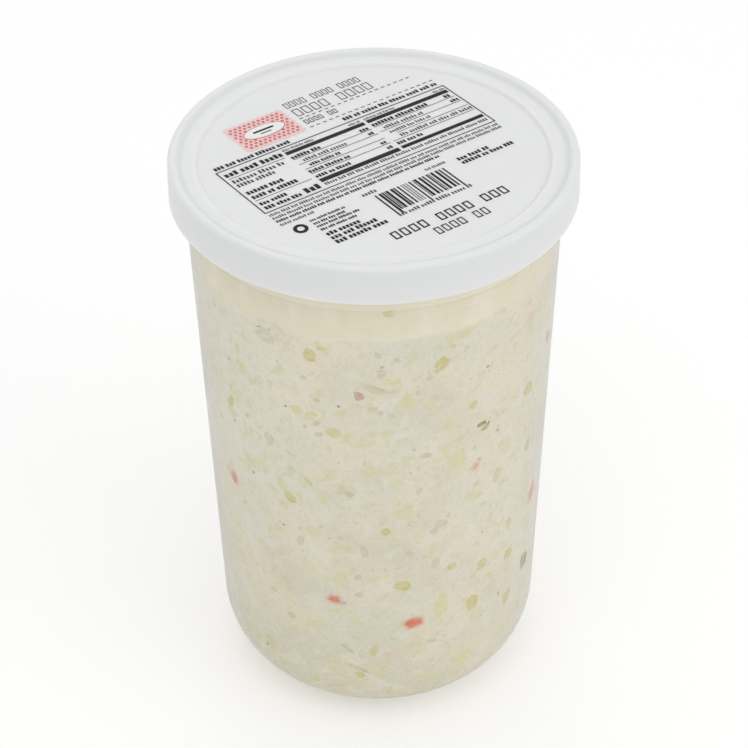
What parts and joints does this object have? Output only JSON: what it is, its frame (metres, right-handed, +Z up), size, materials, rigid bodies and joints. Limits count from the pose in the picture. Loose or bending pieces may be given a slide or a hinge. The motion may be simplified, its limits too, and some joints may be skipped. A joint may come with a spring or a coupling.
{
  "type": "tub of coleslaw",
  "caption": "Tall round translucent deli tub filled with chopped creamy coleslaw, closed by a white press-on lid with small label print.",
  "frame": {"origin": "centre of the ring that the tub stands on", "axes": "+Z up along the tub's axis, towards the lid"},
  "size_m": [0.143, 0.143, 0.2247],
  "materials": {
    "milky_plastic": "thin natural polypropylene, milky translucent, satin smooth",
    "white_plastic": "moulded white polyethylene, soft satin",
    "coleslaw": "moist finely chopped cabbage with bits of carrot and pepper in creamy dressing"
  },
  "bodies": {
    "root": {"tub": "milky_plastic", "lid": "white_plastic", "coleslaw": "coleslaw"}
  },
  "joints": []
}
